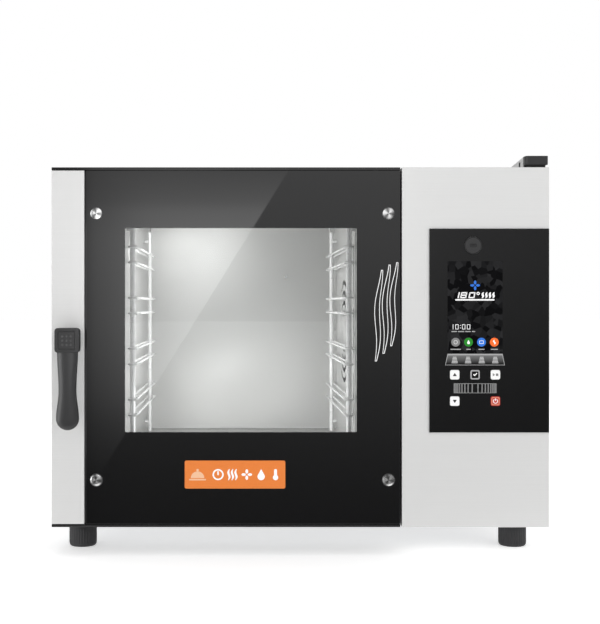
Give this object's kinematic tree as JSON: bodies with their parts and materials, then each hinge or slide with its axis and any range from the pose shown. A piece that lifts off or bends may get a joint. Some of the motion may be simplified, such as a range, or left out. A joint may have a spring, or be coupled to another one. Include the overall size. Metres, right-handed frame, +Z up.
{
  "type": "combi steamer oven",
  "caption": "Bench-top combi steamer oven with a glass door, lever handle, tray racks, side fan, touch display, keys, vents and adjustable feet.",
  "frame": {"origin": "on the floor, under the centre of the oven's outer box", "axes": "+Z up, -Y towards the user at the door, +X towards the control column"},
  "size_m": [0.85, 0.828, 0.6835],
  "materials": {
    "light_steel": "satin",
    "cavity_steel": "satin",
    "zinc_steel": "matte",
    "polished_steel": "polished",
    "black_glass": "gloss",
    "clear_glass": "gloss",
    "black_plastic": "satin",
    "black_steel": "satin",
    "black_rubber": "matte",
    "grey_silicone": "matte",
    "mineral_wool": "matte",
    "orange_plate": "satin",
    "white_plastic": "satin",
    "grey_plastic": "satin",
    "red_plastic": "satin",
    "circuit_board": "satin",
    "brass": "satin",
    "motor_paint": "satin"
  },
  "bodies": {
    "cabinet": {"base_tray": "zinc_steel", "side_panel_left": "light_steel", "side_panel_right": "light_steel", "top_cover": "light_steel", "rear_cover": "zinc_steel", "front_frame": "cavity_steel", "hinge_rail_top": "black_steel", "hinge_rail_bottom": "black_steel", "cavity_liner": "cavity_steel", "insulation": "mineral_wool", "door_gasket": "grey_silicone", "rack_left": "polished_steel", "rack_right": "polished_steel", "fan_baffle": "cavity_steel", "fan_motor": "motor_paint", "heating_element": "zinc_steel", "water_pipe": "polished_steel", "water_valve": "brass", "temperature_probe": "polished_steel", "drain_pipe": "polished_steel", "flue_pipe": "polished_steel", "latch_keeper": "zinc_steel", "column_front": "light_steel", "control_glass": "black_glass", "display_module": "black_plastic", "control_board": "circuit_board", "usb_socket": "polished_steel", "power_board": "circuit_board", "cooling_fan_frame": "black_plastic", "cable_gland": "black_plastic", "vent_housing": "light_steel", "vent_cap": "black_plastic"},
    "door": {"door_frame": "black_steel", "hinge_bush_bottom": "white_plastic", "hinge_bush_top": "white_plastic", "glass_bolt_left_lower": "polished_steel", "glass_bolt_left_upper": "polished_steel", "glass_bolt_right_lower": "polished_steel", "glass_bolt_right_upper": "polished_steel", "outer_glass": "black_glass", "handle_strip": "light_steel", "door_inner_panel": "cavity_steel", "inner_glass": "clear_glass", "led_bar": "white_plastic", "badge_plate": "orange_plate"},
    "handle": {"handle_lever": "black_plastic", "latch_spindle": "zinc_steel"},
    "fan": {"fan_wheel": "polished_steel"},
    "cooling_fan_rotor": {"cooling_rotor": "black_plastic"},
    "damper": {"flue_damper": "polished_steel"},
    "usb_plug": {"usb_cover": "black_plastic"},
    "up_key": {"key_up": "white_plastic"},
    "ok_key": {"key_ok": "grey_plastic"},
    "start_stop_key": {"key_start_stop": "white_plastic"},
    "down_key": {"key_down": "white_plastic"},
    "power_key": {"key_power": "red_plastic"},
    "front_left_foot": {"foot_front_left": "black_rubber"},
    "front_right_foot": {"foot_front_right": "black_rubber"},
    "rear_left_foot": {"foot_rear_left": "black_rubber"},
    "rear_right_foot": {"foot_rear_right": "black_rubber"}
  },
  "joints": [
    {"name": "door_hinge", "type": "hinge", "parent": "cabinet", "child": "door", "pos_m": [0.13, -0.3505, 0.356], "axis": [0, 0, 1], "range_deg": [0, 120]},
    {"name": "handle_turn", "type": "hinge", "parent": "door", "child": "handle", "pos_m": [-0.392, -0.364, 0.3691], "axis": [0, -1, 0], "range_deg": [0, 90]},
    {"name": "fan_spin", "type": "hinge", "parent": "cabinet", "child": "fan", "pos_m": [0.152, -0.029, 0.376], "axis": [1, 0, 0], "continuous": true},
    {"name": "cooling_fan_spin", "type": "hinge", "parent": "cabinet", "child": "cooling_fan_rotor", "pos_m": [0.3, 0.386, 0.1985], "axis": [0, 1, 0], "continuous": true},
    {"name": "damper_turn", "type": "hinge", "parent": "cabinet", "child": "damper", "pos_m": [-0.2, 0.236, 0.65075], "axis": [1, 0, 0], "range_deg": [0, 90]},
    {"name": "usb_cover_pull", "type": "slide", "parent": "cabinet", "child": "usb_plug", "axis": [0, -1, 0], "range_m": [0, 0.02]},
    {"name": "key_up_press", "type": "slide", "parent": "cabinet", "child": "up_key", "axis": [0, 1, 0], "range_m": [0, 0.001], "stiffness_N_per_m": 400, "springref_m": -0.0005},
    {"name": "key_ok_press", "type": "slide", "parent": "cabinet", "child": "ok_key", "axis": [0, 1, 0], "range_m": [0, 0.001], "stiffness_N_per_m": 400, "springref_m": -0.0005},
    {"name": "key_start_stop_press", "type": "slide", "parent": "cabinet", "child": "start_stop_key", "axis": [0, 1, 0], "range_m": [0, 0.001], "stiffness_N_per_m": 400, "springref_m": -0.0005},
    {"name": "key_down_press", "type": "slide", "parent": "cabinet", "child": "down_key", "axis": [0, 1, 0], "range_m": [0, 0.001], "stiffness_N_per_m": 400, "springref_m": -0.0005},
    {"name": "key_power_press", "type": "slide", "parent": "cabinet", "child": "power_key", "axis": [0, 1, 0], "range_m": [0, 0.001], "stiffness_N_per_m": 400, "springref_m": -0.0005},
    {"name": "front_left_foot_height", "type": "slide", "parent": "cabinet", "child": "front_left_foot", "axis": [0, 0, -1], "range_m": [0, 0.015]},
    {"name": "front_right_foot_height", "type": "slide", "parent": "cabinet", "child": "front_right_foot", "axis": [0, 0, -1], "range_m": [0, 0.015]},
    {"name": "rear_left_foot_height", "type": "slide", "parent": "cabinet", "child": "rear_left_foot", "axis": [0, 0, -1], "range_m": [0, 0.015]},
    {"name": "rear_right_foot_height", "type": "slide", "parent": "cabinet", "child": "rear_right_foot", "axis": [0, 0, -1], "range_m": [0, 0.015]}
  ]
}
